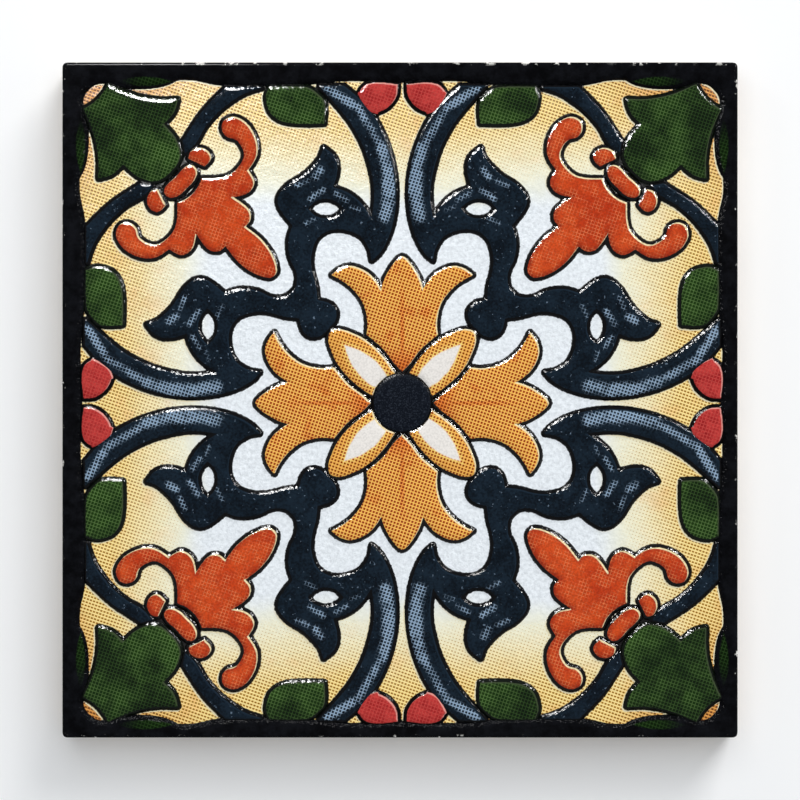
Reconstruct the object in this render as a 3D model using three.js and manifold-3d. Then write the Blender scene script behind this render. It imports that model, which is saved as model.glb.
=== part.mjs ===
// Square decor tile, pressed and fired as one piece. Its face carries a fourfold arabesque in
// low relief: flat-topped cells that stand above the ground, with channels between them.
// Millimetres, +Z up, lying on its back, origin at the middle of its lower side.
import * as THREE from 'three';
import { mergeVertices } from 'three/addons/utils/BufferGeometryUtils.js';
import Module from 'manifold-3d';

// Driving dimensions of the tile
const SIDE = 100;
const GROUND = 7.2;
const RELIEF = 0.8;
const CORNER_RADIUS = 0.7;
const ARRIS = 0.35;

// Keying grooves in the back
const GROOVE_COUNT = 8;
const GROOVE_WIDTH = 6.5;
const GROOVE_PITCH = 11;
const GROOVE_DEPTH = 0.6;
const BACK_MARGIN = 7;

// The ornament is drawn for a field of this side, from its own middle, which lies a little off
// the middle of the tile
const DRAWN_SIDE = 100;
const ART_RIGHT = 0.22;
const ART_UP = -0.3;
const CHORD_ERROR = 0.06;
const SPLINE_STEPS = 8;

const HEIGHT = GROUND + RELIEF;
const SCALE = SIDE / DRAWN_SIDE;
const ROOT = 0.6 * GROUND;

// An outline is a list of curves. Each is a smooth line through its points, and two curves
// meet at a corner. A point is [x, y] in the ornament's first quadrant, y up.
const DISC_RADIUS = 4.15;

const PETAL_HALF = [
  [[4.75, 0], [5.7, 0.95], [7.7, 2.45], [9.3, 4.2], [10.15, 5.2]],
  [[10.15, 5.2], [12.3, 5.1], [14.9, 5.8], [17.0, 7.4], [18.4, 9.3], [18.95, 10.4]],
  [[18.95, 10.4], [19.95, 9.0], [20.2, 7.3], [19.3, 5.2], [17.9, 3.85], [16.75, 3.1]],
  [[16.75, 3.1], [18.6, 2.45], [20.3, 1.45], [21.3, 0.6], [21.65, 0]],
];

const LEAN_PETAL_HALF = [
  [[3.25, 3.25], [2.3, 4.0], [1.15, 4.45]],
  [[1.15, 4.45], [2.5, 6.4], [4.4, 8.45], [6.8, 10.05], [9.7, 10.85]],
  [[9.7, 10.85], [10.35, 10.7], [10.5, 10.5]],
];

const SCROLL_HALF = [
  [[11.0, 11.0], [10.0, 12.2], [9.85, 13.6], [10.75, 14.65], [12.6, 15.2]],
  [[12.6, 15.2], [12.8, 17.1], [13.4, 19.4], [13.55, 21.6], [12.8, 24.15], [11.0, 25.55],
    [8.6, 25.7], [6.2, 24.75], [4.85, 22.85], [4.5, 21.15]],
  [[4.5, 21.15], [3.1, 22.6], [1.75, 25.5], [1.05, 29.0], [1.05, 33.0], [1.85, 37.1],
    [3.45, 41.0], [5.6, 44.2], [8.6, 46.9]],
  [[8.6, 46.9], [12.2, 46.9]],
  [[12.2, 46.9], [10.6, 45.0], [7.75, 41.7], [5.55, 37.65], [4.35, 33.4], [4.1, 30.4],
    [4.5, 27.2]],
  [[4.5, 27.2], [6.3, 29.75], [8.3, 31.2], [10.35, 31.9]],
  [[10.35, 31.9], [9.7, 34.2], [10.0, 36.3], [11.6, 37.8]],
  [[11.6, 37.8], [12.3, 36.1], [14.4, 33.9], [17.1, 32.1], [18.35, 30.3], [17.95, 28.6],
    [16.15, 26.3]],
  [[16.15, 26.3], [16.8, 24.0], [16.55, 21.5], [15.6, 19.3], [15.65, 17.4], [16.35, 16.35]],
];

const EYE = [
  [[8.5, 28.85], [9.9, 29.95], [11.4, 30.3], [13.0, 29.85], [14.1, 28.75]],
  [[14.1, 28.75], [12.8, 27.6], [11.3, 27.25], [9.8, 27.6], [8.5, 28.85]],
];

const RING_ARC = [
  [[20.9, 46.7], [23.6, 45.75], [26.85, 43.5], [29.2, 40.9], [30.9, 38.15]],
  [[30.9, 38.15], [32.1, 37.1]],
  [[32.1, 37.1], [32.45, 38.75]],
  [[32.45, 38.75], [30.9, 41.1], [29.0, 43.75], [26.1, 46.7]],
  [[26.1, 46.7], [20.9, 46.7]],
];

const LILY_HALF = [
  [[18.95, 18.95], [18.6, 19.8], [19.3, 22.0], [20.9, 24.2], [23.3, 26.15]],
  [[23.3, 26.15], [22.5, 27.3], [22.9, 28.8], [25.2, 30.5]],
  [[25.2, 30.5], [22.9, 31.15], [21.95, 32.7], [22.85, 34.5]],
  [[22.85, 34.5], [21.6, 36.6], [21.65, 38.9], [22.9, 41.2], [24.8, 42.3], [26.35, 41.75],
    [26.6, 40.4], [25.8, 39.4]],
  [[25.8, 39.4], [24.3, 38.8], [23.35, 36.8], [24.2, 34.9], [26.2, 33.45], [29.6, 33.2]],
  [[29.6, 33.2], [30.2, 31.9], [30.95, 30.95]],
];

const COLLAR_HALF = [
  [[31.9, 31.9], [30.8, 33.1], [30.45, 34.3], [31.0, 35.1], [32.0, 34.95], [33.45, 33.45]],
];

const COLLAR_KNOB = [
  [[29.3, 35.1], [28.35, 36.2], [28.9, 37.35], [30.2, 37.7], [31.3, 37.1], [31.55, 36.2]],
  [[31.55, 36.2], [29.3, 35.1]],
];

const LEAF_HALF = [
  [[34.3, 34.3], [33.1, 35.9], [32.95, 37.4], [33.7, 39.3], [35.4, 41.3]],
  [[35.4, 41.3], [33.85, 43.1], [33.3, 44.95]],
  [[33.3, 44.95], [36.5, 44.95], [40.0, 45.65], [43.5, 47.1]],
  [[43.5, 47.1], [44.1, 46.1], [45.0, 45.0]],
];

const HALF_LEAF = [
  [[11.6, 41.45], [11.5, 43.6], [11.9, 45.1], [13.9, 46.6]],
  [[13.9, 46.6], [15.5, 46.75], [19.6, 46.75]],
  [[19.6, 46.75], [20.1, 45.2], [19.4, 42.9], [17.5, 41.7], [14.5, 41.4], [11.6, 41.45]],
];

const BERRY = [
  [[0.75, 47.1], [0.95, 45.4], [2.1, 43.9], [3.6, 43.15]],
  [[3.6, 43.15], [4.7, 43.7], [5.6, 44.95], [6.15, 46.0]],
  [[6.15, 46.0], [5.6, 46.9], [4.2, 47.35], [2.4, 47.3], [0.75, 47.1]],
];

const BORDER_HALF = [
  [[0, 47.9], [4.5, 48.05], [9.0, 48.1], [14.0, 47.55], [20.0, 47.35], [26.5, 47.45],
    [31.0, 48.25], [33.4, 48.2]],
  [[33.4, 48.2], [35.0, 47.45], [38.0, 46.95], [41.5, 47.1]],
  [[41.5, 47.1], [44.0, 47.75], [45.6, 47.5], [46.7, 46.7]],
];

// Mirrors a list of curves over the diagonal, turned round so that it runs on
function overDiagonal(curves) {
  const turned = curves.map((curve) => curve.map(([x, y]) => [y, x]).reverse());
  return turned.reverse();
}

// Mirrors a list of curves over the x axis in the same way
function overAxis(curves) {
  const turned = curves.map((curve) => curve.map(([x, y]) => [x, -y]).reverse());
  return turned.reverse();
}

// Turns a list of curves by quarter turns
function quarterTurns(curves, turns) {
  const turn = new THREE.Vector2();
  const about = new THREE.Vector2();
  const angle = turns * Math.PI / 2;
  return curves.map((curve) => curve.map(([x, y]) => {
    turn.set(x, y).rotateAround(about, angle);
    return [turn.x, turn.y];
  }));
}

// Joins the curves of a half outline to its mirror image, and makes one curve of the two that
// meet on the mirror line
function closeHalf(half, mirror) {
  const back = mirror(half);
  const first = half[0];
  const last = half[half.length - 1];
  if (half.length === 1) {
    return [[...first, ...back[0].slice(1)]];
  }
  const middle = [...last, ...back[0].slice(1)];
  return [first, ...half.slice(1, -1), middle, ...back.slice(1)];
}

// Leaves out the points that lie within the chord error of the line between their neighbours
function thin(points) {
  const first = points[0];
  const last = points[points.length - 1];
  const chord = new THREE.Line3(
    new THREE.Vector3(first.x, first.y, 0),
    new THREE.Vector3(last.x, last.y, 0),
  );
  const point = new THREE.Vector3();
  const nearest = new THREE.Vector3();
  let widest = 0;
  let at = 0;
  points.forEach(({ x, y }, index) => {
    point.set(x, y, 0);
    chord.closestPointToPoint(point, true, nearest);
    if (nearest.distanceTo(point) > widest) {
      widest = nearest.distanceTo(point);
      at = index;
    }
  });
  if (widest <= CHORD_ERROR) {
    return [first, last];
  }
  return [...thin(points.slice(0, at + 1)), ...thin(points.slice(at)).slice(1)];
}

// Gives the corner points of an outline on the tile
function trace(curves) {
  const outline = [];
  for (const curve of curves) {
    const onTile = curve.map(([x, y]) => new THREE.Vector2(
      (x + ART_RIGHT) * SCALE,
      (y + ART_UP) * SCALE,
    ));
    const spline = new THREE.SplineCurve(onTile);
    const line = thin(spline.getPoints((onTile.length - 1) * SPLINE_STEPS));
    outline.push(...line.slice(0, -1));
  }
  return outline;
}

const wasm = await Module();
wasm.setup();

// Makes a solid of a closed geometry
function solid(geometry) {
  const bare = geometry.clone();
  bare.deleteAttribute('normal');
  bare.deleteAttribute('uv');
  const merged = mergeVertices(bare, 1e-5);
  return new wasm.Manifold(new wasm.Mesh({
    numProp: 3,
    vertProperties: merged.attributes.position.array,
    triVerts: merged.index.array,
  }));
}

// Turns an outline round where it doesn't run the way that is asked for
function running(outline, clockwise) {
  const runs = THREE.ShapeUtils.isClockWise(outline) === clockwise;
  return runs ? outline : [...outline].reverse();
}

// Stands an outline up between two levels, with its holes
function prism(outline, low, high, holes = []) {
  const shape = new THREE.Shape(running(outline, false));
  shape.holes = holes.map((hole) => new THREE.Path(running(hole, true)));
  const geometry = new THREE.ExtrudeGeometry(shape, { depth: high - low, bevelEnabled: false });
  geometry.translate(0, 0, low);
  return solid(geometry);
}

// Four copies of a cell, a quarter turn apart
function fourCells(curves, holes = []) {
  return [0, 1, 2, 3].map((turns) => prism(
    trace(quarterTurns(curves, turns)),
    ROOT,
    HEIGHT,
    holes.map((hole) => trace(quarterTurns(hole, turns))),
  ));
}

// Eight copies: four, and their mirror images over the diagonal
function eightCells(curves) {
  return [...fourCells(curves), ...fourCells(overDiagonal(curves))];
}

// Square block with rounded edges and arrises
function block() {
  const half = SIDE / 2;
  const straight = half - CORNER_RADIUS;
  const outline = new THREE.Shape();
  outline.absarc(straight, straight, CORNER_RADIUS, 0, Math.PI / 2);
  outline.absarc(-straight, straight, CORNER_RADIUS, Math.PI / 2, Math.PI);
  outline.absarc(-straight, -straight, CORNER_RADIUS, Math.PI, 3 * Math.PI / 2);
  outline.absarc(straight, -straight, CORNER_RADIUS, 3 * Math.PI / 2, 2 * Math.PI);
  const geometry = new THREE.ExtrudeGeometry(outline, {
    depth: HEIGHT - 2 * ARRIS,
    bevelThickness: ARRIS,
    bevelSize: ARRIS,
    bevelOffset: -ARRIS,
    bevelSegments: 3,
    curveSegments: 5,
  });
  geometry.translate(0, 0, ARRIS);
  return solid(geometry);
}

// Long shallow grooves that key the back to its bed
function grooves() {
  const length = SIDE - 2 * BACK_MARGIN;
  const list = [];
  for (let index = 0; index < GROOVE_COUNT; index += 1) {
    const geometry = new THREE.BoxGeometry(GROOVE_WIDTH, length, 2 * GROOVE_DEPTH);
    geometry.translate((index - (GROOVE_COUNT - 1) / 2) * GROOVE_PITCH, 0, 0);
    list.push(solid(geometry));
  }
  return list;
}

// The field inside the border frame, sunk to the ground
function field() {
  const octants = closeHalf(BORDER_HALF, overDiagonal);
  const outline = [0, 1, 2, 3].flatMap((turns) => quarterTurns(octants, -turns));
  return prism(trace(outline), GROUND, HEIGHT + RELIEF);
}

// The round middle of the flower
function disc() {
  const circle = new THREE.Path();
  circle.absarc(ART_RIGHT * SCALE, ART_UP * SCALE, DISC_RADIUS * SCALE, 0, 2 * Math.PI);
  return prism(thin(circle.getPoints(64)).slice(0, -1), ROOT, HEIGHT);
}

const cells = [
  disc(),
  ...fourCells(closeHalf(PETAL_HALF, overAxis)),
  ...fourCells(closeHalf(LEAN_PETAL_HALF, overDiagonal)),
  ...fourCells(closeHalf(SCROLL_HALF, overDiagonal), [EYE, overDiagonal(EYE)]),
  ...eightCells(RING_ARC),
  ...fourCells(closeHalf(LILY_HALF, overDiagonal)),
  ...fourCells(closeHalf(COLLAR_HALF, overDiagonal)),
  ...eightCells(COLLAR_KNOB),
  ...fourCells(closeHalf(LEAF_HALF, overDiagonal)),
  ...eightCells(HALF_LEAF),
  ...eightCells(BERRY),
];

let body = block().subtract(field());
for (const cell of cells) {
  body = body.add(cell);
}
for (const groove of grooves()) {
  body = body.subtract(groove);
}

const { vertProperties, triVerts } = body.getMesh();
const geometry = new THREE.BufferGeometry();
geometry.setAttribute('position', new THREE.BufferAttribute(vertProperties, 3));
geometry.setIndex(new THREE.BufferAttribute(triVerts, 1));
geometry.computeVertexNormals();

const tile = new THREE.Mesh(geometry, new THREE.MeshStandardMaterial({
  color: 0xd9a04e,
  roughness: 0.25,
  metalness: 0,
}));
tile.name = 'tile';

const group = new THREE.Group();
group.add(tile);

export default group;
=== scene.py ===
import math

import bmesh
import bpy
import numpy as np
from mathutils import Matrix, Vector
from mathutils.geometry import interpolate_bezier


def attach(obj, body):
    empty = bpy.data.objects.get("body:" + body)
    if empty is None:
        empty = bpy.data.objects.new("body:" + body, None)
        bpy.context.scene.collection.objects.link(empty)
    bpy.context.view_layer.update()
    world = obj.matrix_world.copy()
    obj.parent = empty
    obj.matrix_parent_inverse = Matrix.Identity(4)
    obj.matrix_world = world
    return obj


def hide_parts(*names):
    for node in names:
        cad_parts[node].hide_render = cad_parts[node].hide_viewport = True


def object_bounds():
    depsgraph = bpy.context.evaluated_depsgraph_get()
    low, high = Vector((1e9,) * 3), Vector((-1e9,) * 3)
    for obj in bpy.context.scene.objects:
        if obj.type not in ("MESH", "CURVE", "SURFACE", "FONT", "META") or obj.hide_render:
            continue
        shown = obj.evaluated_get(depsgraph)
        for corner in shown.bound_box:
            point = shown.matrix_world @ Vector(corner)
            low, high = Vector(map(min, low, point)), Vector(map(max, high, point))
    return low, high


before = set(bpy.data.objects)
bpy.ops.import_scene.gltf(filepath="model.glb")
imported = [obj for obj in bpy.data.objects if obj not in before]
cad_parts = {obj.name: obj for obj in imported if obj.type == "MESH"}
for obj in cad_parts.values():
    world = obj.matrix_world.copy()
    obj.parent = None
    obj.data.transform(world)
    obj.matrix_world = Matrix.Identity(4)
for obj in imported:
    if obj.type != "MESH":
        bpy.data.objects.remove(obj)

cad_low, cad_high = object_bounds()


# The body
# One slab of pale clay, pressed and fired in one piece with its relief. The back keeps the
# grooves that key it to its bed and stays bare; the black glaze runs a little down the sides.
MM = 0.001
MERGE = 0.002 * MM
LEVEL = 0.99
ONE_PLANE = math.radians(1)
SHARP = math.radians(30)
BODY_TOP = 7.1 * MM
BISCUIT = (214, 196, 172)
BISCUIT_DARK = (188, 166, 140)
BISCUIT_SPECK = (150, 118, 88)
BISCUIT_ROUGH = 0.8
BISCUIT_GRAIN = 0.03
RUN_DOWN = 5.9 * MM
RUN_WAVE = 1.6 * MM
RUN_EDGE = 0.1 * MM
RUN_BUILD = 1.5
RUN_ROUGH = 0.25
BLACK = (7, 7, 9)


def colour(red, green, blue):
    """Gives the linear colour of a display colour from 0 to 255"""
    steps = [value / 255 for value in (red, green, blue)]
    line = [v / 12.92 if v <= 0.04045 else ((v + 0.055) / 1.055) ** 2.4 for v in steps]
    return (*line, 1.0)


def add(tree, kind, inputs=None, **settings):
    """Adds a shader node, with its settings, and with its inputs set or linked"""
    node = tree.nodes.new("ShaderNode" + kind)
    for name, value in settings.items():
        setattr(node, name, value)
    for name, value in (inputs or {}).items():
        if isinstance(value, bpy.types.NodeSocket):
            tree.links.new(value, node.inputs[name])
        else:
            node.inputs[name].default_value = value
    return node


def calc(tree, operation, first, second=0.0, third=0.0):
    """A sum of two or three values"""
    inputs = {0: first, 1: second, 2: third}
    return add(tree, "Math", inputs, operation=operation).outputs[0]


def ease(tree, value, low, high):
    """Rises smoothly from 0 at low to 1 at high"""
    inputs = {"Value": value, "From Min": low, "From Max": high}
    node = add(tree, "MapRange", inputs, interpolation_type="SMOOTHSTEP")
    return node.outputs["Result"]


def mix(tree, factor, first, second):
    """Mixes two colours"""
    node = add(tree, "Mix", {"Factor": factor}, data_type="RGBA")
    for socket, value in ((node.inputs[6], first), (node.inputs[7], second)):
        if isinstance(value, bpy.types.NodeSocket):
            tree.links.new(value, socket)
        else:
            socket.default_value = colour(*value)
    return node.outputs[2]


def position(tree):
    """The place on the tile, in metres"""
    return add(tree, "TexCoord").outputs["Object"]


def noise(tree, grain, detail=2.0, roughness=0.5):
    """Cloudy noise from 0 to 1, with clouds of the given size in millimetres"""
    inputs = {"Vector": position(tree), "Scale": 1 / MM / grain, "Detail": detail,
              "Roughness": roughness}
    return add(tree, "TexNoise", inputs).outputs["Fac"]


def bump(tree, height, depth):
    """Turns a height from 0 to 1 into a bump of the given depth in millimetres"""
    inputs = {"Height": height, "Distance": depth * MM, "Strength": 1.0}
    return add(tree, "Bump", inputs).outputs["Normal"]


def new_material(name):
    """A material with a bare shader"""
    material = bpy.data.materials.new(name)
    material.use_nodes = True
    tree = material.node_tree
    tree.nodes.clear()
    shader = add(tree, "BsdfPrincipled")
    out = add(tree, "OutputMaterial")
    tree.links.new(shader.outputs[0], out.inputs["Surface"])
    return material, tree, shader


def finish_piece(name, bm, material):
    """Makes the piece of a finished bmesh, and fixes it to the tile"""
    mesh = bpy.data.meshes.new(name)
    bm.to_mesh(mesh)
    bm.free()
    mesh.materials.append(material)
    mesh.shade_smooth()
    piece = bpy.data.objects.new(name, mesh)
    bpy.context.scene.collection.objects.link(piece)
    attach(piece, "root")
    return piece


def merged_tile():
    """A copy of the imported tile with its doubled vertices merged"""
    bm = bmesh.new()
    bm.from_mesh(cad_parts["tile"].data)
    bmesh.ops.remove_doubles(bm, verts=bm.verts, dist=MERGE)
    return bm


def biscuit_material():
    """Bare clay with dark specks, and the black glaze that has run down from the border"""
    material, tree, shader = new_material("biscuit")
    shade = ease(tree, noise(tree, 9, 4, 0.6), 0.35, 0.7)
    clay = mix(tree, shade, BISCUIT, BISCUIT_DARK)
    specks = ease(tree, noise(tree, 0.7, 2), 0.66, 0.72)
    clay = mix(tree, specks, clay, BISCUIT_SPECK)
    height = add(tree, "SeparateXYZ", {0: position(tree)}).outputs["Z"]
    wave = calc(tree, "MULTIPLY_ADD", noise(tree, 6, 2), -RUN_WAVE, RUN_DOWN + RUN_WAVE / 2)
    glazed = ease(tree, calc(tree, "SUBTRACT", height, wave), 0.0, RUN_EDGE)
    tree.links.new(mix(tree, glazed, clay, BLACK), shader.inputs["Base Color"])
    rough = calc(tree, "MULTIPLY_ADD", glazed, RUN_ROUGH - BISCUIT_ROUGH, BISCUIT_ROUGH)
    tree.links.new(rough, shader.inputs["Roughness"])
    grain = calc(tree, "ADD", noise(tree, 0.25, 3), calc(tree, "MULTIPLY", glazed, RUN_BUILD))
    tree.links.new(bump(tree, grain, BISCUIT_GRAIN), shader.inputs["Normal"])
    return material


slab = merged_tile()
geometry = slab.verts[:] + slab.edges[:] + slab.faces[:]
up_levels = [face.calc_center_median().z for face in slab.faces if face.normal.z > LEVEL]
GROUND = max(level for level in up_levels if level < cad_high.z - MERGE) / MM
bmesh.ops.bisect_plane(slab, geom=geometry, plane_co=(0, 0, BODY_TOP), plane_no=(0, 0, 1),
                       clear_outer=True)
cut_rim = [edge for edge in slab.edges if edge.is_boundary]
bmesh.ops.holes_fill(slab, edges=cut_rim, sides=0)
bmesh.ops.dissolve_limit(slab, angle_limit=ONE_PLANE, verts=slab.verts, edges=slab.edges)
body = finish_piece("tile_body", slab, biscuit_material())
body.data.set_sharp_from_angle(angle=SHARP)
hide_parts("tile")


# The black border
# A frame of thick black glaze round the tile, with a wavy inner edge. It is rounded over the
# arris, where it is thin and chipped, and slopes down to the ground on the inside. Slivers of
# green leaf lie under it near the corners. The white on the arris is partly chips and partly a
# painted highlight, which is denser along the top edge.
LOOP_STEP = 0.3
CORNER_TURN = math.radians(35)
CORNER_DEPTH = 0.085
LEAST_LENGTH = 1e-9
TILE_HALF = (cad_high.x - cad_low.x) / 2 / MM
ARRIS = 0.45
ARRIS_ANGLES = (18, 36, 54, 72, 90)
INNER_STEPS = (-0.72, -0.55, -0.38, -0.2, -0.08, 0.0)
WIDTH_SHARES = (0.05, 0.12, 0.22, 0.35, 0.5, 0.7, 0.88, 1.0)
PAST_RIM = 0.2
DOWN_SIDE = 1.0
UPRIGHT_RADIUS = 0.7
LINE_WIDTH = 0.62
SHOULDER = 0.45
LIP = 0.1
LIP_REACH = 0.35
CROWN = 0.13
CROWN_REACH = 1.1
PRESS_SLIP = (0.11, -0.14)
LIGHT_SIDE = (math.sqrt(0.5), math.sqrt(0.5))
SCREEN_PITCH = 0.491
SCREEN_TURN = math.radians(19)
DOT_BLUR = 0.1
DOT_ROUND = 0.1
DOT_FADE = 0.04
BLACK_WORN = (20, 21, 25)
SPECK_SIZE = 0.3
SPECKS = 0.15
SMEAR_SIZE = 2.2
SMEAR = 0.05
PEEL_SIZE = 0.45
SWELL_SIZE = 2.0
BEAD_SIZE = 0.5
BEAD_BAND = 0.4
BEADS = 9.5
SLIVER_MIDDLE = 38.2
SLIVER_HALF = 4.4
SLIVER_LINE = 47.6
SLIVER_WIDTH = 1.5
SLIVER_TIP = (42.5, 37.0)
SLIVER_GREEN = (44, 70, 32)
SLIVER_NET = (14, 30, 8)
CHIP_AND_GLINT = (224, 222, 216)
CHIP_SIZE = 1.6
CHIP_LEVELS = (0.61, 0.65)
CHIP_BAND = (0.6, 0.15)
TOP_GLINT = 0.05


def traced_loops(bm):
    """The boundary loops of a flat mesh, in millimetres, each with its face on the left"""
    following = {}
    for edge in bm.edges:
        if edge.is_boundary:
            corner = edge.link_loops[0]
            following[corner.vert] = corner.link_loop_next.vert
    loops = []
    while following:
        vert, after = following.popitem()
        loop = [vert]
        while after is not loop[0]:
            loop.append(after)
            after = following.pop(after)
        loops.append(np.array([vert.co.xy for vert in loop]) / MM)
    return loops


def signed_area(loop):
    """The area in a loop, negative where the loop runs clockwise"""
    after = np.roll(loop, -1, axis=0)
    return 0.5 * np.sum(loop[:, 0] * after[:, 1] - after[:, 0] * loop[:, 1])


def smoothed(loop):
    """Draws a smooth line through the points of a loop, and keeps its corners sharp"""
    back = loop - np.roll(loop, 1, axis=0)
    on = np.roll(loop, -1, axis=0) - loop
    back_length = np.linalg.norm(back, axis=1)[:, None]
    on_length = np.linalg.norm(on, axis=1)[:, None]
    whole = back_length + on_length
    tangent = back / back_length * on_length / whole + on / on_length * back_length / whole
    turn = np.arccos(np.clip(np.sum(back * on, axis=1)[:, None] / back_length / on_length,
                             -1, 1))
    depth = turn * (whole / 2) / 8  # an arc is as deep as an eighth of its chord times its turn
    is_corner = (turn > CORNER_TURN) & (depth > CORNER_DEPTH)
    leaving = np.where(is_corner, on / on_length, tangent)
    arriving = np.where(is_corner, back / back_length, tangent)
    line = []
    for index in range(len(loop)):
        after = (index + 1) % len(loop)
        reach = on_length[index, 0]
        steps = max(2, math.ceil(reach / LOOP_STEP) + 1)
        start = loop[index]
        end = loop[after]
        handle = start + leaving[index] * reach / 3
        other_handle = end - arriving[after] * reach / 3
        curve = interpolate_bezier(Vector(start), Vector(handle), Vector(other_handle),
                                   Vector(end), steps)
        line.extend(point[:] for point in curve[:-1])
    return np.array(line)


def relief(edge):
    """Height of the glaze over the ground, for a distance in from a cell's outline"""
    out = np.minimum(edge, 0)
    within = np.maximum(edge, 0)
    slope = LIP / LIP_REACH + CROWN / CROWN_REACH
    fall = (SHOULDER - slope * LINE_WIDTH) / LINE_WIDTH ** 2
    lip = LIP * (1 - np.exp(-within / LIP_REACH))
    crown = CROWN * (1 - np.exp(-within / CROWN_REACH))
    return SHOULDER + slope * out - fall * out ** 2 + lip + crown


flat = merged_tile()
low_faces = [face for face in flat.faces
             if face.normal.z < LEVEL or face.calc_center_median().z < cad_high.z - MERGE]
bmesh.ops.delete(flat, geom=low_faces, context="FACES")
outlines = [smoothed(loop) for loop in traced_loops(flat)]
flat.free()
outlines.sort(key=lambda loop: -abs(signed_area(loop)))
outlines[2:] = [loop + PRESS_SLIP for loop in outlines[2:]]
border_edge = outlines[1][::-1]
disc_edge = min(outlines[2:], key=lambda loop: np.linalg.norm(loop.mean(axis=0)))
ART = (disc_edge.min(axis=0) + disc_edge.max(axis=0)) / 2


def on_rim(points, inset):
    """Spreads points out to the rounded square that lies the given way in from the sides"""
    far = np.abs(points).max(axis=1)[:, None]
    spread = points / far * (TILE_HALF - inset)
    middle = TILE_HALF - UPRIGHT_RADIUS
    past = np.maximum(np.abs(spread) - middle, 0)
    length = np.maximum(np.linalg.norm(past, axis=1)[:, None], LEAST_LENGTH)
    kept = UPRIGHT_RADIUS - inset
    in_corner = (past.min(axis=1) > 0)[:, None]
    round_part = np.sign(spread) * (middle + past / length * kept)
    return np.where(in_corner, round_part, spread)


def outward_normals(loop):
    """The way out of a loop that runs anticlockwise, at each point"""
    along = np.roll(loop, -1, axis=0) - np.roll(loop, 1, axis=0)
    along /= np.linalg.norm(along, axis=1)[:, None]
    return np.stack([along[:, 1], -along[:, 0]], axis=1)


def border_rows():
    """The border's section, row by row, from the ground inside to the side of the tile"""
    inward = -outward_normals(border_edge)
    rows = []
    for edge in INNER_STEPS:
        place = border_edge - inward * edge
        rows.append((place, GROUND + relief(np.full(len(place), edge)), edge))
    top_rim = on_rim(border_edge, ARRIS)
    width = np.linalg.norm(top_rim - border_edge, axis=1)
    for share in WIDTH_SHARES:
        place = border_edge * (1 - share) + top_rim * share
        height = GROUND + relief(width * share)
        rows.append((place, height, share * width))
    rim_height = rows[-1][1]
    for angle in ARRIS_ANGLES:
        slope = math.radians(angle)
        place = on_rim(border_edge, ARRIS * (1 - math.sin(slope)))
        rows.append((place, rim_height - ARRIS * (1 - math.cos(slope)), width + PAST_RIM))
    side = rows[-1][0]
    rows.append((side, np.full(len(side), BODY_TOP / MM), width + DOWN_SIDE))
    return rows


def sweep(rows):
    """Sweeps a closed row through all the rows by extrusion, and closes it underneath"""
    bm = bmesh.new()
    edge_layer = bm.verts.layers.float.new("edge")
    facing_layer = bm.verts.layers.float.new("facing")
    facing = -outward_normals(border_edge) @ np.array(LIGHT_SIDE)
    ring = []
    edges = []
    for place, height, edge in rows:
        if ring:
            made = bmesh.ops.extrude_edge_only(bm, edges=edges)["geom"]
            fresh = {item for item in made if isinstance(item, bmesh.types.BMVert)}
            ring = [next(link.other_vert(vert) for link in vert.link_edges
                         if link.other_vert(vert) in fresh) for vert in ring]
            edges = [item for item in made if isinstance(item, bmesh.types.BMEdge)
                     and all(vert in fresh for vert in item.verts)]
        else:
            ring = [bm.verts.new() for _ in place]
            edges = [bm.edges.new((vert, ring[index - 1])) for index, vert in enumerate(ring)]
            first_edges = edges
        edge_values = np.broadcast_to(edge, len(place))
        for index, vert in enumerate(ring):
            vert.co = (*place[index], height[index])
            vert[edge_layer] = edge_values[index]
            vert[facing_layer] = facing[index]
    bmesh.ops.bridge_loops(bm, edges=first_edges + edges)
    bmesh.ops.recalc_face_normals(bm, faces=bm.faces)
    bmesh.ops.scale(bm, vec=(MM, MM, MM), verts=bm.verts)
    return bm


def attribute(tree, name):
    """A value that is kept for each vertex: edge or facing"""
    return add(tree, "Attribute", attribute_name=name).outputs["Fac"]


def folded(tree):
    """Millimetres from the ornament's middle, folded into its first octant: far, near"""
    shift = (-ART[0] * MM, -ART[1] * MM, 0)
    inputs = {"Vector": position(tree), "Location": shift}
    moved = add(tree, "Mapping", inputs).outputs[0]
    split = add(tree, "SeparateXYZ", {0: moved})
    across = calc(tree, "MULTIPLY", calc(tree, "ABSOLUTE", split.outputs["X"]), 1 / MM)
    up = calc(tree, "MULTIPLY", calc(tree, "ABSOLUTE", split.outputs["Y"]), 1 / MM)
    return calc(tree, "MAXIMUM", across, up), calc(tree, "MINIMUM", across, up)


def dots(tree, cover, aspect=1.0):
    """The printing screen: the ink on the spot, in square dots with the given cover over all"""
    inputs = {"Vector": position(tree), "Rotation": (0, 0, SCREEN_TURN),
              "Scale": (1 / MM / SCREEN_PITCH,) * 3}
    turned = add(tree, "Mapping", inputs).outputs[0]
    split = add(tree, "SeparateXYZ", {0: turned})
    gaps = []
    for axis, narrow in (("X", 1 / aspect), ("Y", aspect)):
        middle = calc(tree, "SUBTRACT", calc(tree, "FRACT", split.outputs[axis]), 0.5)
        gaps.append(calc(tree, "MULTIPLY", calc(tree, "ABSOLUTE", middle), narrow))
    reach = calc(tree, "MULTIPLY", calc(tree, "SQRT", cover), 0.5)
    level = calc(tree, "SUBTRACT", reach, calc(tree, "SMOOTH_MAX", *gaps, DOT_ROUND))
    ink = ease(tree, level, -DOT_BLUR, DOT_BLUR)
    return calc(tree, "MULTIPLY", ink, ease(tree, cover, 0.0, DOT_FADE))


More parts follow.
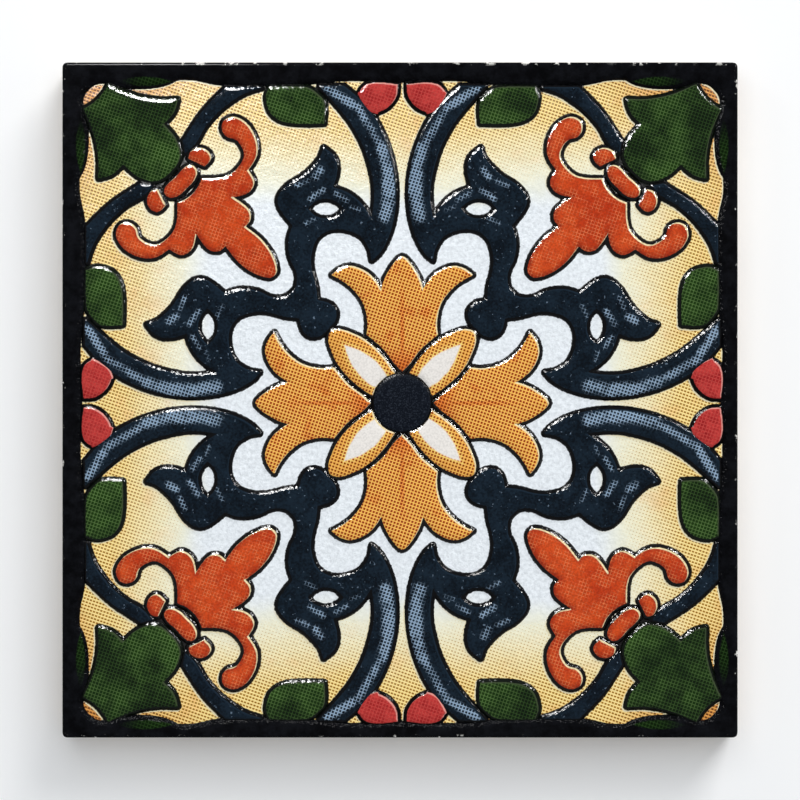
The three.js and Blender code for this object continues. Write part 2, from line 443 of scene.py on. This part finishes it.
def glaze_finish(tree, shader, paint, rough=0.05, shine=0.36, grain=0.012, specks=SPECKS):
    """The glossy, faintly uneven skin of a glaze cell, with small beads along its rim"""
    dark = calc(tree, "MULTIPLY", ease(tree, noise(tree, SPECK_SIZE, 2), 0.35, 0.7), specks)
    tree.links.new(mix(tree, dark, paint, (0, 0, 0)), shader.inputs["Base Color"])
    shader.inputs["Specular IOR Level"].default_value = shine
    smeared = calc(tree, "MULTIPLY_ADD", noise(tree, SMEAR_SIZE, 3), SMEAR, rough)
    tree.links.new(smeared, shader.inputs["Roughness"])
    swell = noise(tree, SWELL_SIZE, 2)
    peel = calc(tree, "MULTIPLY_ADD", noise(tree, PEEL_SIZE, 3, 0.6), 0.5, swell)
    rim_band = ease(tree, attribute(tree, "edge"), BEAD_BAND, -0.05)
    wobble = calc(tree, "SUBTRACT", noise(tree, BEAD_SIZE, 2), 0.5)
    beads = calc(tree, "MULTIPLY", wobble, rim_band)
    skin = calc(tree, "MULTIPLY_ADD", beads, BEADS, peel)
    tree.links.new(bump(tree, skin, grain), shader.inputs["Normal"])


def border_material():
    """Black glaze, cloudy with wear, with its green slivers, and white on its arris that is
    partly chips and partly a painted highlight along the top edge
    """
    material, tree, shader = new_material("black_border")
    cloud = ease(tree, noise(tree, 2.5, 5, 0.75), 0.35, 0.7)
    ink = mix(tree, cloud, BLACK, BLACK_WORN)
    far, near = folded(tree)
    lens = calc(tree, "DIVIDE", calc(tree, "SUBTRACT", near, SLIVER_MIDDLE), SLIVER_HALF)
    bulge = calc(tree, "SUBTRACT", 1.0, calc(tree, "MULTIPLY", lens, lens))
    off = calc(tree, "ABSOLUTE", calc(tree, "SUBTRACT", far, SLIVER_LINE))
    depth = calc(tree, "MULTIPLY_ADD", bulge, SLIVER_WIDTH / 2, calc(tree, "MULTIPLY", off, -1))
    sliver = ease(tree, depth, -0.05, 0.25)
    green = mix(tree, dots(tree, 0.7), SLIVER_GREEN, SLIVER_NET)
    sliver = calc(tree, "MULTIPLY", sliver, ease(tree, near, *SLIVER_TIP))
    ink = mix(tree, sliver, ink, green)
    split = add(tree, "SeparateXYZ", {0: position(tree)})
    out = calc(tree, "MAXIMUM", calc(tree, "ABSOLUTE", split.outputs["X"]),
               calc(tree, "ABSOLUTE", split.outputs["Y"]))
    rim = ease(tree, out, *((TILE_HALF - inset) * MM for inset in CHIP_BAND))
    # Painted highlight: the white chips are made denser along the top edge, where light from
    # above catches the arris.
    lit_top = ease(tree, split.outputs["Y"], 0.8 * TILE_HALF * MM, TILE_HALF * MM)
    chip_and_glint = calc(tree, "MULTIPLY_ADD", lit_top, TOP_GLINT, noise(tree, CHIP_SIZE, 3, 0.7))
    chip_and_glint = ease(tree, chip_and_glint, *CHIP_LEVELS)
    chip_and_glint = calc(tree, "MULTIPLY", chip_and_glint, rim)
    chip_and_glint = calc(tree, "MULTIPLY", chip_and_glint, ease(tree, noise(tree, 14, 2), 0.45, 0.55))
    ink = mix(tree, chip_and_glint, ink, CHIP_AND_GLINT)
    glaze_finish(tree, shader, ink, rough=0.12, shine=0.03, grain=0.03)
    return material


finish_piece("border_glaze", sweep(border_rows()), border_material())


# The ground
# The white base glaze between the raised cells. It is bare in the middle of the tile, and
# printed with yellow and fine brown dots towards the border. It is a little sandy.
COARSE = 0.6
FINE_CUTS = 2
FINE_BAND = 0.45
HIDDEN = 0.2
BIN = 5.0
SEEN = 6.0
LEAST_RISE = 1e-12
LEAST_GAP = 1e-6
UNDER = 7.04
SHIFT = 0.25
MARGIN = 0.3
DEEP = 0.5
COLLAR_JOINT = (35.9, 32.2)
JOINT_REACH = (1.3, 0.9)
WHITE = (245, 250, 254)
WHITE_SHADE = (223, 228, 232)
WHITE_END = (27.5, 32.5)
PRINT_RISE = (29.5, 42.5)
PRINT_WANDER = 4.0
CORNER_RISE = (74.0, 92.0)
CREAM = (243, 242, 220)
YELLOW = (255, 232, 160)
YELLOW_CORNER = (236, 170, 88)
BLUSH = (242, 160, 96)
OCHRE_PALE = (240, 227, 176)
OCHRE = (240, 190, 74)
OCHRE_CORNER = (214, 140, 54)
OCHRE_SPREAD = 1.9
BROWN_PALE = (216, 190, 150)
BROWN = (136, 84, 14)
BROWN_CORNER = (104, 52, 10)
BROWN_COVER = 0.245
BROWN_COVER_CORNER = 0.14
DOT_ASPECT = 1.15
UNPRINTED = (240, 228, 190)
FEATHER = (12, 8, 8)
SAND_DEPTH = 0.14


def signed_distance(points, starts, ends):
    """Millimetres from each point to the outline, positive inside, and the way in"""
    distance = np.empty(len(points))
    inward = np.empty((len(points), 2))
    seg_low = np.minimum(starts, ends)
    seg_high = np.maximum(starts, ends)
    bins = np.floor(points / BIN).astype(int)
    for corner in np.unique(bins, axis=0):
        mine = np.flatnonzero(np.all(bins == corner, axis=1))
        low = corner * BIN
        high = low + BIN
        near = np.all((seg_high > low - SEEN) & (seg_low < high + SEEN), axis=1)
        if not near.any():
            near[:] = True
        here = points[mine][:, None]
        start = starts[near]
        along = ends[near] - start
        offset = here - start
        share = np.sum(offset * along, axis=2) / np.sum(along * along, axis=1)
        offset = offset - along * np.clip(share, 0, 1)[:, :, None]
        squared = np.sum(offset * offset, axis=2)
        nearest = squared.argmin(axis=1)
        rows = np.arange(len(mine))
        gap = np.sqrt(squared[rows, nearest])
        level = (seg_low[:, 1] <= high[1]) & (seg_high[:, 1] >= low[1])
        first = starts[level]
        last = ends[level]
        y = here[:, :, 1]
        rise = last[:, 1] - first[:, 1]
        rise = np.where(np.abs(rise) < LEAST_RISE, LEAST_RISE, rise)
        cross_x = first[:, 0] + (y - first[:, 1]) * (last[:, 0] - first[:, 0]) / rise
        crosses = ((first[:, 1] > y) != (last[:, 1] > y)) & (here[:, :, 0] < cross_x)
        sign = np.where(crosses.sum(axis=1) % 2 == 1, 1.0, -1.0)
        distance[mine] = gap * sign
        way = offset[rows, nearest] / np.maximum(gap, LEAST_GAP)[:, None]
        inward[mine] = way * sign[:, None]
    return distance, inward


def segments(loops):
    """The starts and the ends of all the straight steps of some loops"""
    return np.concatenate(loops), np.concatenate([np.roll(loop, -1, axis=0) for loop in loops])


def flat_grid(low, high, step):
    """A flat grid of squares between two corners"""
    bm = bmesh.new()
    size = high - low
    counts = np.ceil(size / step).astype(int)
    middle = (low + high) / 2
    place = Matrix.Translation((*middle, 0)) @ Matrix.Diagonal((*size, 1, 1))
    bmesh.ops.create_grid(bm, x_segments=int(counts[0]), y_segments=int(counts[1]), size=0.5,
                          matrix=place)
    return bm


def places(bm):
    """The vertices' places, seen from above"""
    return np.array([vert.co.xy for vert in bm.verts])


def drop_verts(bm, unwanted):
    """Deletes the vertices that are marked as unwanted"""
    going = [vert for vert, out in zip(bm.verts, unwanted) if out]
    bmesh.ops.delete(bm, geom=going, context="VERTS")


def refine(bm, wanted, cuts):
    """Cuts up the faces that have a wanted vertex"""
    chosen = {vert for vert, near in zip(bm.verts, wanted) if near}
    edges = {edge for face in bm.faces if any(vert in chosen for vert in face.verts)
             for edge in face.edges}
    bmesh.ops.subdivide_edges(bm, edges=list(edges), cuts=cuts, use_grid_fill=True)


def close_under(bm, level):
    """Runs the open rim down to a level and fills it there"""
    rim = [edge for edge in bm.edges if edge.is_boundary]
    made = bmesh.ops.extrude_edge_only(bm, edges=rim)["geom"]
    fresh = {item for item in made if isinstance(item, bmesh.types.BMVert)}
    for vert in fresh:
        vert.co.z = level
    bottom = [item for item in made if isinstance(item, bmesh.types.BMEdge)
              and all(vert in fresh for vert in item.verts)]
    bmesh.ops.triangle_fill(bm, use_beauty=True, use_dissolve=False, edges=bottom,
                            normal=(0, 0, -1))
    bmesh.ops.recalc_face_normals(bm, faces=bm.faces)


def ground_sheet():
    """The ground between the cells, finest beside them, where its print changes most"""
    starts, ends = segments(outlines)
    low = border_edge.min(axis=0) - MARGIN
    high = border_edge.max(axis=0) + MARGIN
    bm = flat_grid(low, high, COARSE)
    edge, _ = signed_distance(places(bm), starts, ends)
    drop_verts(bm, edge > DEEP + COARSE)
    edge, _ = signed_distance(places(bm), starts, ends)
    refine(bm, edge > -LINE_WIDTH - FINE_BAND, FINE_CUTS)
    edge, _ = signed_distance(places(bm), starts, ends)
    drop_verts(bm, edge > -HIDDEN)
    for vert in bm.verts:
        vert.co.z = GROUND
    close_under(bm, UNDER)
    edge, inward = signed_distance(places(bm), starts, ends)
    bmesh.ops.scale(bm, vec=(MM, MM, MM), verts=bm.verts)
    return bm, edge, inward @ np.array(LIGHT_SIDE)


def store(piece, name, values):
    """Keeps a value for each vertex of a piece"""
    layer = piece.data.attributes.new(name, "FLOAT", "POINT")
    layer.data.foreach_set("value", np.asarray(values, dtype=np.float32))


def ground_material():
    """White glaze, printed with ochre and brown dots on yellow from the middle outwards"""
    material, tree, shader = new_material("ground_glaze")
    far, near = folded(tree)
    out = calc(tree, "MULTIPLY_ADD", near, -0.05, far)
    out = calc(tree, "SUBTRACT", out, PRINT_WANDER / 2)
    out = calc(tree, "MULTIPLY_ADD", noise(tree, 5, 3), PRINT_WANDER, out)
    tone = ease(tree, out, *PRINT_RISE)
    corner = ease(tree, calc(tree, "ADD", far, near), *CORNER_RISE)
    edge = attribute(tree, "edge")
    room = calc(tree, "MULTIPLY_ADD", edge, -1.0, -LINE_WIDTH)
    room = calc(tree, "MULTIPLY_ADD", attribute(tree, "facing"), -SHIFT, room)
    printed = ease(tree, room, -0.05, 0.05)
    white = mix(tree, ease(tree, noise(tree, 0.6, 3, 0.7), 0.35, 0.68), WHITE, WHITE_SHADE)
    yellow = mix(tree, corner, mix(tree, tone, CREAM, YELLOW), YELLOW_CORNER)
    blush = calc(tree, "MULTIPLY", ease(tree, noise(tree, 4, 3), 0.5, 0.75), tone)
    yellow = mix(tree, calc(tree, "MULTIPLY", blush, 0.4), yellow, BLUSH)
    ochre = mix(tree, corner, mix(tree, tone, OCHRE_PALE, OCHRE), OCHRE_CORNER)
    brown = mix(tree, corner, mix(tree, tone, BROWN_PALE, BROWN), BROWN_CORNER)
    cover = calc(tree, "MULTIPLY", corner, BROWN_COVER_CORNER)
    cover = calc(tree, "MULTIPLY_ADD", tone, BROWN_COVER, cover)
    ochre_dots = dots(tree, calc(tree, "MULTIPLY", cover, OCHRE_SPREAD), DOT_ASPECT)
    paint = mix(tree, ochre_dots, yellow, ochre)
    paint = mix(tree, dots(tree, cover, DOT_ASPECT), paint, brown)
    paint = mix(tree, printed, UNPRINTED, paint)
    paint = mix(tree, ease(tree, out, *WHITE_END), white, paint)
    ragged = calc(tree, "MULTIPLY_ADD", noise(tree, 0.4, 2), 0.4, edge)
    here = add(tree, "CombineXYZ", {"X": far, "Y": near}).outputs[0]
    knot = add(tree, "VectorMath", {0: here, 1: (*COLLAR_JOINT, 0)}, operation="DISTANCE")
    joined = ease(tree, knot.outputs["Value"], *JOINT_REACH)
    lined = calc(tree, "MAXIMUM", ease(tree, ragged, -0.46, -0.38), joined)
    paint = mix(tree, lined, paint, FEATHER)
    tree.links.new(paint, shader.inputs["Base Color"])
    shader.inputs["Specular IOR Level"].default_value = 0.3
    rough = calc(tree, "MULTIPLY_ADD", noise(tree, 2, 3), 0.2, 0.25)
    tree.links.new(rough, shader.inputs["Roughness"])
    sand = calc(tree, "ADD", noise(tree, 0.7, 4, 0.7), noise(tree, 3, 2))
    tree.links.new(bump(tree, sand, SAND_DEPTH), shader.inputs["Normal"])
    return material


sheet, ground_edge, ground_facing = ground_sheet()
ground = finish_piece("ground_glaze", sheet, ground_material())
store(ground, "edge", ground_edge)
store(ground, "facing", ground_facing)


# The flower
# Four large petals and four narrow ones round a dark disc. Each is a pillow of glaze inside a
# thin black line; the orange print lies a hair off its outline, so a pale rim shows.
BAND = 0.75
SKIRT = 0.74
CELL_STEP = 0.5
CELL_CUTS = 2
PALE_RIM = (246, 226, 178)
LINE_BLACK = (9, 6, 6)
PETAL_YELLOW = (255, 208, 100)
PETAL_RED = (235, 92, 6)
PETAL_BROWN = (134, 54, 0)
ROOT_REACH = (9.5, 4.5)
RIB_HALF = (0.5, 0.1)
RIB_END = (20.0, 12.0)
HEART = (246, 240, 233)
HEART_MIDDLE = 7.0
HEART_HALF = 1.6
HEART_TAPER = 0.061
LEAN_LEMON = (255, 232, 128)
LEAN_AMBER = (255, 196, 92)
LEAN_ORANGE = (238, 124, 28)
LEAN_BROWN = (134, 56, 0)
DISC_BLACK = (13, 18, 27)
DISC_GREY = (44, 50, 60)
DISC_RIM = (24, 28, 36)


def cell_at(x, y):
    """The loops of the raised cell at a place, and of the holes in it, from the middle"""
    place = np.array([[x, y]]) + ART
    around = [loop for loop in outlines[2:] if inside(place, loop)]
    outer = min(around, key=lambda loop: abs(signed_area(loop)))
    holes = [loop for loop in outlines[2:] if signed_area(loop) < 0 and inside(loop[:1], outer)]
    return [loop - ART for loop in [outer] + holes]


def inside(place, loop):
    """Whether a place lies within a loop"""
    distance, _ = signed_distance(place, *segments([loop]))
    return distance[0] > 0


def cell_patch(loops, grown):
    """The pillow of glaze of one cell, grown on the side that is asked, closed underneath"""
    starts, ends = segments(loops)

    def measured():
        edge, inward = signed_distance(places(bm), starts, ends)
        side = np.maximum(inward @ np.array(grown), 0)
        return edge + side * side, inward

    bm = flat_grid(starts.min(axis=0) - 1, starts.max(axis=0) + 1, CELL_STEP)
    drop_verts(bm, measured()[0] < -SKIRT - CELL_STEP)
    refine(bm, np.abs(measured()[0]) < BAND, CELL_CUTS)
    drop_verts(bm, measured()[0] < -SKIRT)
    for vert, height in zip(bm.verts, relief(measured()[0])):
        vert.co.z = GROUND + height
    close_under(bm, UNDER)
    return bm, *measured()


def set_round(name, cells, material, grown=(0, 0)):
    """Makes a piece of cells, each given by a place in it, its quarter turns and its mirroring"""
    whole = bmesh.new()
    edges = []
    facings = []
    to_tile = Matrix.Translation((*(ART * MM), 0)) @ Matrix.Diagonal((MM, MM, MM, 1))
    swap = Matrix(((0, 1, 0, 0), (1, 0, 0, 0), (0, 0, 1, 0), (0, 0, 0, 1)))
    for (x, y), turns, mirrored in cells:
        bm, edge, inward = cell_patch(cell_at(x, y), grown)
        pattern = bpy.data.meshes.new("pattern")
        bm.to_mesh(pattern)
        bm.free()
        for flip in ((False, True) if mirrored else (False,)):
            for turn in range(turns):
                place = Matrix.Rotation(turn * math.pi / 2, 4, "Z")
                if flip:
                    place = place @ swap
                copy = pattern.copy()
                copy.transform(to_tile @ place)
                if flip:
                    copy.flip_normals()
                whole.from_mesh(copy)
                bpy.data.meshes.remove(copy)
                turned = inward @ np.array(place.to_2x2()).T
                edges.append(edge)
                facings.append(turned @ np.array(LIGHT_SIDE))
        bpy.data.meshes.remove(pattern)
    piece = finish_piece(name, whole, material)
    store(piece, "edge", np.concatenate(edges))
    store(piece, "facing", np.concatenate(facings))


def outlined(tree, ink, rim=PALE_RIM, line=LINE_BLACK):
    """Lays the printed ink on a cell, with its pale rim and the black line round it"""
    edge = attribute(tree, "edge")
    facing = attribute(tree, "facing")
    printed = ease(tree, calc(tree, "MULTIPLY_ADD", facing, SHIFT, edge), -0.11, -0.01)
    ragged = calc(tree, "MULTIPLY_ADD", noise(tree, 0.35, 2), 0.14, edge)
    covered = ease(tree, ragged, 0.04, -0.04)
    return mix(tree, covered, mix(tree, printed, rim, ink), line)


def petal_material():
    """Yellow glaze with red and brown dots, redder at the root, on the rib and in patches"""
    material, tree, shader = new_material("petal_orange")
    far, near = folded(tree)
    root = ease(tree, far, *ROOT_REACH)
    rib = calc(tree, "MULTIPLY", ease(tree, near, *RIB_HALF), ease(tree, far, *RIB_END))
    rib = calc(tree, "MULTIPLY", rib, 0.6)
    blush = ease(tree, noise(tree, 3.0, 3), 0.52, 0.78)
    warm = calc(tree, "MAXIMUM", calc(tree, "MAXIMUM", root, rib),
                calc(tree, "MULTIPLY", blush, 0.6))
    red = dots(tree, calc(tree, "MULTIPLY_ADD", warm, 0.45, 0.52))
    dark = dots(tree, calc(tree, "MULTIPLY_ADD", warm, 0.15, 0.27))
    ink = mix(tree, dark, mix(tree, red, PETAL_YELLOW, PETAL_RED), PETAL_BROWN)
    glaze_finish(tree, shader, outlined(tree, ink))
    return material


def lean_petal_material():
    """A pale heart that tapers both ways, within a band of orange print"""
    material, tree, shader = new_material("petal_pale")
    far, near = folded(tree)
    along = calc(tree, "MULTIPLY", calc(tree, "ADD", far, near), math.sqrt(0.5))
    across = calc(tree, "MULTIPLY", calc(tree, "SUBTRACT", far, near), math.sqrt(0.5))
    off = calc(tree, "SUBTRACT", along, HEART_MIDDLE)
    bend = calc(tree, "MULTIPLY", off, off)
    taper = calc(tree, "MULTIPLY_ADD", bend, -HEART_TAPER, HEART_HALF)
    room = calc(tree, "SUBTRACT", calc(tree, "ABSOLUTE", across), taper)
    room = calc(tree, "MULTIPLY_ADD", noise(tree, 1.5, 2), 0.3, room)
    rim = ease(tree, room, -0.05, 0.3)
    base = mix(tree, ease(tree, room, 0.0, 1.1), LEAN_LEMON, LEAN_AMBER)
    orange = mix(tree, dots(tree, 0.45), base, LEAN_ORANGE)
    cover = calc(tree, "MULTIPLY", ease(tree, room, 0.0, 0.6), 0.3)
    orange = mix(tree, dots(tree, cover), orange, LEAN_BROWN)
    ink = mix(tree, rim, HEART, orange)
    glaze_finish(tree, shader, outlined(tree, ink))
    return material


def disc_material():
    """Black glaze with a fine grey grain"""
    material, tree, shader = new_material("disc_black")
    ink = mix(tree, ease(tree, noise(tree, 0.22, 2), 0.45, 0.75), DISC_BLACK, DISC_GREY)
    paint = outlined(tree, ink, rim=DISC_RIM)
    glaze_finish(tree, shader, paint, rough=0.25, shine=0.06)
    return material


set_round("petal_glaze", [((0, 14), 4, False)], petal_material())
set_round("lean_petal_glaze", [((6, 6), 4, False)], lean_petal_material())
set_round("disc_glaze", [((0, 0), 1, False)], disc_material())


# The scrolls and the ring
# Dark blue brackets, each with two crescents and two wings, and the ring that they join. Pale
# blue shows through the net of the print in streaks along the thick glaze.
NAVY = (2, 12, 22)
NAVY_WORN = (20, 35, 48)
PALE_BLUE = (150, 174, 198)
LEAST_NET = 0.4
STREAKS = (((27.6, 2.5), (31.0, 1.9), 1.2, 0.7), ((31.0, 1.9), (34.2, 2.0), 1.25, 0.85),
           ((34.2, 2.0), (37.8, 3.0), 1.1, 0.72), ((37.8, 3.0), (43.8, 6.6), 0.8, 0.6),
           ((44.2, 7.4), (46.6, 11.0), 0.8, 0.75), ((34.5, 12.1), (33.5, 12.8), 0.75, 0.65),
           ((31.5, 11.7), (30.2, 13.6), 0.6, 0.6), ((30.0, 8.2), (31.0, 9.8), 0.55, 0.5),
           ((28.6, 6.4), (29.0, 7.6), 0.45, 0.4), ((27.5, 12.7), (26.6, 14.3), 0.5, 0.45),
           ((32.9, 14.0), (32.2, 15.6), 0.55, 0.5))


def streak_light(tree):
    """How much pale blue the print shows, from the streaks that the scroll is shaded with"""
    far, near = folded(tree)
    here = add(tree, "CombineXYZ", {"X": far, "Y": near}).outputs[0]
    light = 0.0
    for start, end, half, strength in STREAKS:
        along = Vector((*end, 0)) - Vector((*start, 0))
        offset = add(tree, "VectorMath", {0: here, 1: (*start, 0)}, operation="SUBTRACT")
        share = add(tree, "VectorMath", {0: offset.outputs[0], 1: along / along.length_squared},
                    operation="DOT_PRODUCT").outputs["Value"]
        share = add(tree, "Clamp", {"Value": share}).outputs[0]
        reach = add(tree, "VectorMath", {0: along, "Scale": share}, operation="SCALE").outputs[0]
        gap = add(tree, "VectorMath", {0: offset.outputs[0], 1: reach},
                  operation="DISTANCE").outputs["Value"]
        spot = calc(tree, "MULTIPLY", ease(tree, gap, half * 1.5, half * 0.2), strength)
        light = calc(tree, "MAXIMUM", spot, light)
    return light


def scroll_material():
    """Mottled navy glaze, whose net thins out in the streaks and shows the pale blue"""
    material, tree, shader = new_material("scroll_navy")
    cloud = calc(tree, "MULTIPLY_ADD", noise(tree, 1.4, 3, 0.6), 2.0, 0.15)
    light = calc(tree, "MULTIPLY", streak_light(tree), cloud)
    cover = calc(tree, "MAXIMUM", calc(tree, "MULTIPLY_ADD", light, -1.3, 1.5), LEAST_NET)
    grain = ease(tree, noise(tree, 0.35, 2), 0.3, 0.7)
    mottle = ease(tree, calc(tree, "MULTIPLY_ADD", grain, 0.25, noise(tree, 3.5, 4, 0.6)),
                  0.4, 0.85)
    navy = mix(tree, mottle, NAVY, NAVY_WORN)
    tick = ease(tree, noise(tree, 0.5, 2), 0.68, 0.74)
    navy = mix(tree, calc(tree, "MULTIPLY", tick, 0.4), navy, PALE_BLUE)
    ink = mix(tree, dots(tree, cover), PALE_BLUE, navy)
    paint = outlined(tree, ink, rim=NAVY_WORN, line=BLACK)
    glaze_finish(tree, shader, paint, shine=0.18)
    return material


set_round("scroll_glaze", [((13, 13), 4, False), ((28.5, 42), 4, True)],
          scroll_material())


# The lilies
# Four orange red fleurs-de-lis of thick glaze, each tied to its leaf by a collar of three beads.
# The red is printed so densely that only fine light dots are left of the ground of the print.
LILY_DEEP = (192, 52, 10)
LILY_RED = (218, 78, 24)
LILY_RIM_SHADE = (176, 50, 12)
LILY_DOTS = (248, 144, 88)
LILY_COVER = 0.78


def lily_material():
    """Cloudy orange red, with painted shade along the rim, and light dots in patches"""
    material, tree, shader = new_material("lily_red")
    cloud = ease(tree, noise(tree, 5, 3), 0.3, 0.7)
    ink = mix(tree, cloud, LILY_DEEP, LILY_RED)
    # Painted shade: the red darkens towards the outline, where the rounded rim turns away from
    # the light.
    middle = ease(tree, attribute(tree, "edge"), 0.0, 0.9)
    ink = mix(tree, middle, LILY_RIM_SHADE, ink)
    gap = calc(tree, "SUBTRACT", 1.0, dots(tree, LILY_COVER))
    gap = calc(tree, "MULTIPLY", gap, ease(tree, noise(tree, 1.5, 2), 0.35, 0.65))
    ink = mix(tree, gap, ink, LILY_DOTS)
    glaze_finish(tree, shader, outlined(tree, ink), shine=0.3, specks=0.3)
    return material


set_round("lily_glaze", [((28, 28), 4, False), ((33, 33), 4, False), ((30, 36.5), 4, True)],
          lily_material())


# The leaves
# A five pointed leaf in each corner and a half leaf on each side of every ring, in green glaze
# under a printed net. They are cloudy, and darker towards the border.
LEAF_SHADE = (44, 70, 28)
LEAF_SHADE_NET = (4, 22, 0)
LEAF_LIT = (96, 130, 68)
LEAF_LIT_NET = (28, 56, 6)
LEAF_RIM = (58, 72, 44)
LEAF_LINE = (8, 14, 6)
LEAF_REACH = (58.0, 46.0)


def leaf_material():
    """A green net on a lighter green, both paler where the cloud is light"""
    material, tree, shader = new_material("leaf_green")
    far, near = folded(tree)
    base = ease(tree, calc(tree, "MULTIPLY_ADD", near, 0.4, far), *LEAF_REACH)
    cloud = calc(tree, "MULTIPLY_ADD", noise(tree, 5, 3, 0.6), 1.6, -0.3)
    cloud = calc(tree, "MULTIPLY_ADD", base, 0.28, cloud)
    light = ease(tree, cloud, 0.3, 1.0)
    shade = mix(tree, dots(tree, 0.78), LEAF_SHADE, LEAF_SHADE_NET)
    lit = mix(tree, dots(tree, 0.7), LEAF_LIT, LEAF_LIT_NET)
    ink = mix(tree, light, shade, lit)
    paint = outlined(tree, ink, rim=LEAF_RIM, line=LEAF_LINE)
    glaze_finish(tree, shader, paint, shine=0.22)
    return material


set_round("leaf_glaze", [((38, 38), 4, False), ((15, 44), 4, True)],
          leaf_material())


# The berries
# Eight berries of cherry red glaze, in pairs where the crescents meet the border. The glaze has
# swelled over the pressed outline, towards the other berry of the pair and towards the border.
BERRY_DEEP = (162, 34, 36)
BERRY_RED = (204, 64, 60)
BERRY_DOTS = (202, 74, 68)
BERRY_RIM = (226, 150, 140)
BERRY_SWELL = (-0.5, 0.44)


def berry_material():
    """Cloudy cherry red with a faint net and a pink rim"""
    material, tree, shader = new_material("berry_red")
    cloud = ease(tree, noise(tree, 2, 4, 0.7), 0.35, 0.65)
    ink = mix(tree, cloud, BERRY_DEEP, BERRY_RED)
    ink = mix(tree, dots(tree, 0.6), BERRY_DOTS, ink)
    glaze_finish(tree, shader, outlined(tree, ink, rim=BERRY_RIM), shine=0.1, specks=0.22)
    return material


set_round("berry_glaze", [((3, 45.3), 4, True)], berry_material(), BERRY_SWELL)


# The studio
# A pale floor, a camera straight over the tile, a soft light overhead and one from the upper
# right. Two small lamps close by, at the upper left and right, only show as glints in the glaze.
PHOTO_SIDE_PX = 800
TILE_SIDE_PX = 676
CAMERA_HEIGHT = 0.5
SENSOR = 36.0
NEAR_CLIP = 0.01
FLOOR_GAP = 0.05 * MM
FLOOR_SIZE = 1.5
FLOOR_PAINT = (0.96, 0.96, 0.96, 1)
FLOOR_ROUGH = 0.9
SKY = (0.9, 0.95, 1.0, 1)
SKY_STRENGTH = 0.38

floor_mesh = bpy.data.meshes.new("floor")
floor_bm = bmesh.new()
bmesh.ops.create_grid(floor_bm, x_segments=1, y_segments=1, size=FLOOR_SIZE)
floor_bm.to_mesh(floor_mesh)
floor_bm.free()
floor = bpy.data.objects.new("floor", floor_mesh)
floor.location.z = -FLOOR_GAP
bpy.context.scene.collection.objects.link(floor)
floor_paint, _, floor_shader = new_material("floor_paint")
floor_shader.inputs["Base Color"].default_value = FLOOR_PAINT
floor_shader.inputs["Roughness"].default_value = FLOOR_ROUGH
floor_mesh.materials.append(floor_paint)

view_side = 2 * TILE_HALF * MM * PHOTO_SIDE_PX / TILE_SIDE_PX
lens = bpy.data.cameras.new("camera")
lens.sensor_width = SENSOR
lens.lens = SENSOR * (CAMERA_HEIGHT - cad_high.z) / view_side
lens.clip_start = NEAR_CLIP
camera = bpy.data.objects.new("camera", lens)
camera.location = ((cad_low.x + cad_high.x) / 2, (cad_low.y + cad_high.y) / 2, CAMERA_HEIGHT)
bpy.context.scene.collection.objects.link(camera)
bpy.context.scene.camera = camera


def lamp(name, place, target, size, power, mirrored):
    """A lamp that looks at a place, and is there for the light or for the reflection alone"""
    light = bpy.data.lights.new(name, "AREA")
    light.shape = "RECTANGLE"
    light.size, light.size_y = size
    light.energy = power
    holder = bpy.data.objects.new(name, light)
    holder.location = place
    toward = Vector(target) - Vector(place)
    holder.rotation_euler = toward.to_track_quat("-Z", "Y").to_euler()
    holder.visible_camera = False
    holder.visible_diffuse = not mirrored
    holder.visible_glossy = mirrored
    bpy.context.scene.collection.objects.link(holder)


lamp("overhead", (0.0, 0.5, 1.5), (0, 0, 0), (1.5, 1.5), 11.6, False)
lamp("window", (0.75, 1.3, 0.83), (0, 0, 0), (0.8, 0.8), 16.5, False)
lamp("glint", (-0.045, 0.108, 0.095), (-0.035, 0.035, 0), (0.03, 0.044), 0.64, True)
lamp("side_glint", (0.12, 0.09, 0.08), (0, 0, 0), (0.012, 0.03), 0.2, True)

world = bpy.data.worlds.new("studio")
world.use_nodes = True
sky = world.node_tree.nodes["Background"]
sky.inputs["Color"].default_value = SKY
sky.inputs["Strength"].default_value = SKY_STRENGTH
bpy.context.scene.world = world
bpy.context.scene.view_settings.view_transform = "Standard"
